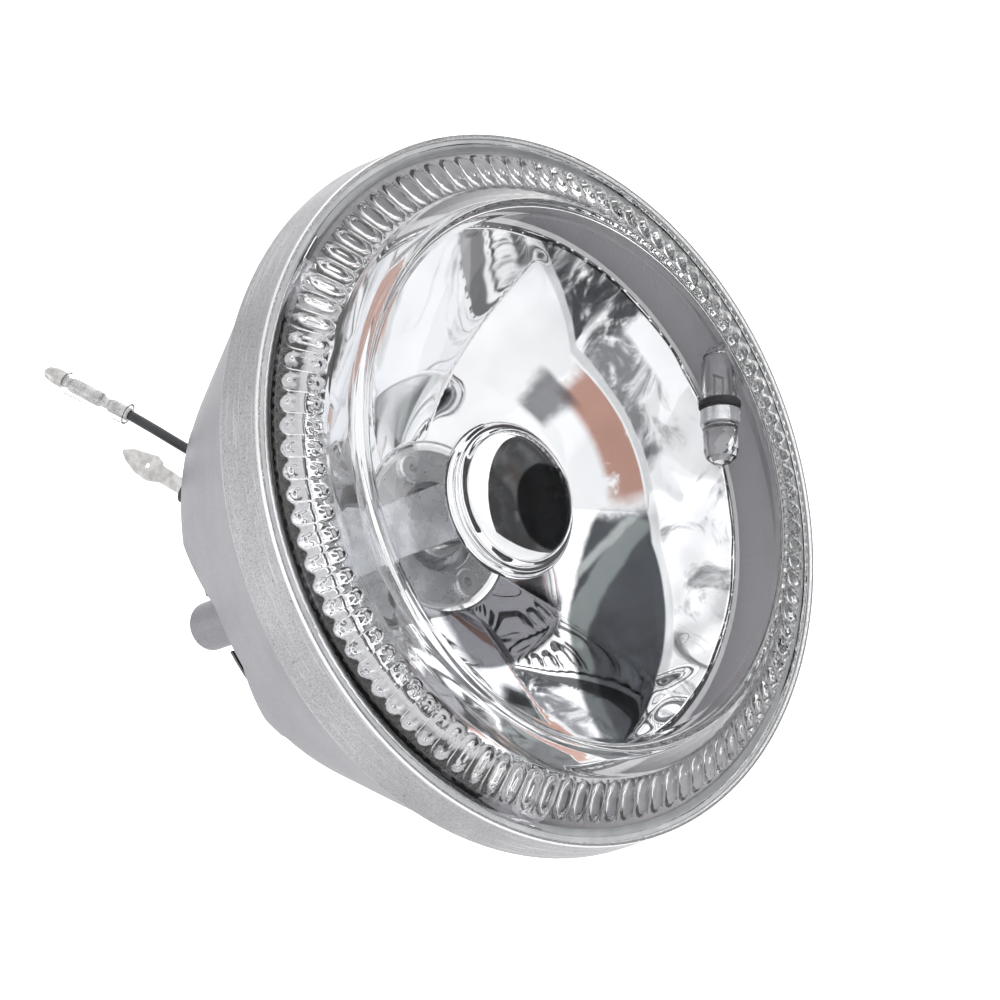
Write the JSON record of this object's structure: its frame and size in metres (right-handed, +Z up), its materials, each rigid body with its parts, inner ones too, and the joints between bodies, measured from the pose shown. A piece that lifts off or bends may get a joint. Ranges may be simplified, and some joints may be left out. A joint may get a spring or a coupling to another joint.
{
  "type": "fog light",
  "caption": "Round fog light insert with a prism-ringed clear lens in a silver bowl, chrome reflector, shielded bulb, marker bulb, rear cover with twist cap, and a short lead.",
  "frame": {"origin": "centre of the circle of the three tapped rear bosses, in the plane of their ends", "axes": "+Y backwards along the lamp's optical axis, out of the tapped bosses; -Y is the way the lamp shines; +Z up; +X to the right seen from the front"},
  "size_m": [0.1624, 0.111, 0.1624],
  "materials": {
    "silver_paint": "satin silver paint over a moulded shell, lightly scuffed",
    "clear_lens": "polished clear",
    "grey_sealant": "dull",
    "mirror_coat": "vacuum-metallised mirror",
    "shield_chrome": "bright plated",
    "zinc_steel": "zinc plated",
    "bulb_steel": "satin",
    "bulb_glass": "clear",
    "tungsten": "bare",
    "brown_insulator": "dull moulded",
    "spring_steel": "bright wire",
    "clear_holder": "translucent clear",
    "black_rubber": "matt",
    "black_plastic": "fine moulded grain",
    "lead_sheath": "satin black sheath",
    "tinned_brass": "tinned",
    "clear_sleeve": "soft clear"
  },
  "bodies": {
    "lamp": {"housing": "silver_paint", "lens": "clear_lens", "lens_seal": "grey_sealant", "reflector": "mirror_coat", "reflector_screws": "zinc_steel", "shield_cap": "shield_chrome", "shield_bracket": "zinc_steel", "shield_rivets": "zinc_steel", "bulb_flange": "bulb_steel", "bulb_glass": "bulb_glass", "bulb_filament": "tungsten", "bulb_insulator": "brown_insulator", "bulb_pigtail": "lead_sheath", "clip_bracket": "zinc_steel", "clip_catch": "zinc_steel", "clip_screws": "zinc_steel", "marker_glass": "bulb_glass", "marker_filament": "tungsten", "marker_seal": "black_rubber", "marker_holder": "clear_holder", "marker_bracket": "zinc_steel", "rear_cover": "black_plastic", "cover_gasket": "black_rubber", "cover_screws": "zinc_steel", "grommet": "black_rubber", "lead": "lead_sheath", "bullet_terminal": "tinned_brass", "terminal_sleeve": "clear_sleeve", "tab_boot": "black_rubber", "ground_tab": "tinned_brass"},
    "cap": {"bulb_cap": "black_plastic", "cap_seal": "black_rubber"},
    "clip": {"bulb_clip": "spring_steel"}
  },
  "joints": [
    {"name": "cap_twist", "type": "hinge", "parent": "lamp", "child": "cap", "pos_m": [0, 0, 0], "axis": [0, 1, 0], "range_deg": [0, 35]},
    {"name": "clip_swing", "type": "hinge", "parent": "lamp", "child": "clip", "pos_m": [0.017, -0.0107, 0], "axis": [0, 0, -1], "range_deg": [0, 45]}
  ]
}
